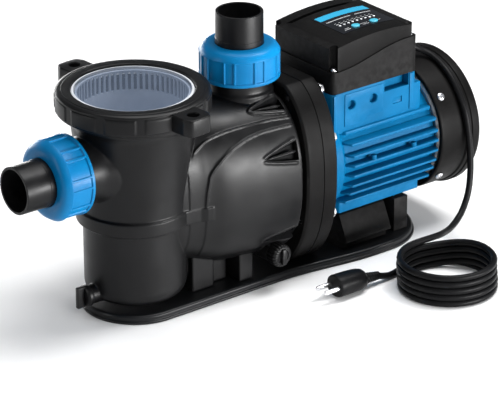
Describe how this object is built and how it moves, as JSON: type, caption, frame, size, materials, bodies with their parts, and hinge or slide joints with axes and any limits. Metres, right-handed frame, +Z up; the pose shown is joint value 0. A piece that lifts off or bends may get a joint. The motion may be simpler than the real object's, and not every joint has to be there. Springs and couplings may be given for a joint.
{
  "type": "swimming pool pump",
  "caption": "Pool circulation pump: strainer pot with a clear lid, union ports, finned motor with a fan cowl, timer controller on top and a coiled power cord.",
  "frame": {"origin": "on the bottom face of the base plate, under the axis of the strainer pot", "axes": "+Z up, +X along the pump from the suction port to the motor, +Y to the left of that"},
  "size_m": [0.556, 0.3323, 0.29],
  "materials": {
    "base_plastic": "glossy black",
    "body_plastic": "satin black, finely grained",
    "blue_plastic": "satin blue",
    "clear_plastic": "clear, polished",
    "basket_plastic": "satin pale grey",
    "blue_paint": "satin blue paint on cast aluminium",
    "cast_alloy": "as cast",
    "controller_plastic": "satin black",
    "panel_film": "glossy black with a blue band",
    "button_plastic": "satin light blue",
    "circuit_board": "solder mask green",
    "steel": "machined",
    "winding": "varnished copper windings on laminated steel",
    "seal_ceramic": "lapped ceramic",
    "rubber": "matt black",
    "cord_jacket": "satin black jacket",
    "zinc": "bright zinc plate"
  },
  "bodies": {
    "root": {"base_plate": "base_plastic", "bracket_bolt_1": "zinc", "bracket_bolt_2": "zinc", "bracket_bolt_3": "zinc", "bracket_bolt_4": "zinc", "bracket_bolt_5": "zinc", "bracket_bolt_6": "zinc", "cable_gland": "rubber", "capacitor": "controller_plastic", "circuit_board": "circuit_board", "control_panel": "panel_film", "controller_base": "controller_plastic", "controller_lid": "controller_plastic", "controller_screw_1": "zinc", "controller_screw_2": "zinc", "controller_screw_3": "zinc", "controller_screw_4": "zinc", "cord_coil": "cord_jacket", "cowl_screw_1": "zinc", "cowl_screw_2": "zinc", "cowl_screw_3": "zinc", "cowl_screw_4": "zinc", "diffuser": "body_plastic", "discharge_oring": "rubber", "fan_cowl": "body_plastic", "foot_screw_1": "zinc", "foot_screw_2": "zinc", "front_bearing": "steel", "motor_bracket": "body_plastic", "motor_foot": "body_plastic", "motor_housing": "blue_paint", "plug": "cord_jacket", "plug_lead": "cord_jacket", "power_cord": "cord_jacket", "pump_body": "body_plastic", "rear_bearing": "steel", "rear_end_shield": "cast_alloy", "stationary_seal": "seal_ceramic", "stator": "winding", "suction_oring": "rubber"},
    "rotor": {"motor_shaft": "steel", "rotor_core": "steel", "impeller": "body_plastic", "rotating_seal": "seal_ceramic", "cooling_fan": "body_plastic"},
    "suction_tail": {"suction_tail": "body_plastic"},
    "suction_nut": {"suction_nut": "blue_plastic"},
    "discharge_tail": {"discharge_tail": "body_plastic"},
    "discharge_nut": {"discharge_nut": "blue_plastic"},
    "lid": {"clear_lid": "clear_plastic", "lid_oring": "rubber"},
    "lid_ring": {"lid_ring": "body_plastic"},
    "basket": {"basket": "basket_plastic"},
    "strainer_drain_plug": {"strainer_drain_plug": "body_plastic"},
    "volute_drain_plug": {"volute_drain_plug": "body_plastic"},
    "mode_button": {"mode_button": "button_plastic"},
    "timer_button": {"timer_button": "button_plastic"}
  },
  "joints": [
    {"name": "rotor_spin", "type": "hinge", "parent": "root", "child": "rotor", "pos_m": [0.3, 0, 0.109], "axis": [1, 0, 0], "continuous": true},
    {"name": "suction_union_pull", "type": "slide", "parent": "root", "child": "suction_tail", "axis": [-1, 0, 0], "range_m": [0, 0.06]},
    {"name": "suction_nut_turn", "type": "hinge", "parent": "suction_tail", "child": "suction_nut", "pos_m": [-0.1, 0, 0.1655], "axis": [1, 0, 0], "continuous": true},
    {"name": "discharge_union_pull", "type": "slide", "parent": "root", "child": "discharge_tail", "axis": [0, 0, 1], "range_m": [0, 0.06]},
    {"name": "discharge_nut_turn", "type": "hinge", "parent": "discharge_tail", "child": "discharge_nut", "pos_m": [0.137, 0, 0.24], "axis": [0, 0, 1], "continuous": true},
    {"name": "lid_lift", "type": "slide", "parent": "root", "child": "lid", "axis": [0, 0, 1], "range_m": [0, 0.4]},
    {"name": "lid_ring_turn", "type": "hinge", "parent": "lid", "child": "lid_ring", "pos_m": [0, 0, 0.23], "axis": [0, 0, 1], "range_deg": [0, 55]},
    {"name": "basket_lift", "type": "slide", "parent": "root", "child": "basket", "axis": [0, 0, 1], "range_m": [0, 0.2]},
    {"name": "strainer_drain_turn", "type": "hinge", "parent": "root", "child": "strainer_drain_plug", "pos_m": [-0.06, 0, 0.025], "axis": [1, 0, 0], "range_deg": [0, 1080]},
    {"name": "volute_drain_turn", "type": "hinge", "parent": "root", "child": "volute_drain_plug", "pos_m": [0.134, -0.0625, 0.04], "axis": [0, 1, 0], "range_deg": [0, 1080]},
    {"name": "mode_button_press", "type": "slide", "parent": "root", "child": "mode_button", "axis": [0, 0, -1], "range_m": [0, 0.001], "stiffness_N_per_m": 400, "springref_m": -0.001},
    {"name": "timer_button_press", "type": "slide", "parent": "root", "child": "timer_button", "axis": [0, 0, -1], "range_m": [0, 0.001], "stiffness_N_per_m": 400, "springref_m": -0.001}
  ],
  "couplings": [
    {"joint": "basket_lift", "follows": "lid_lift", "ratio": 0.475}
  ]
}
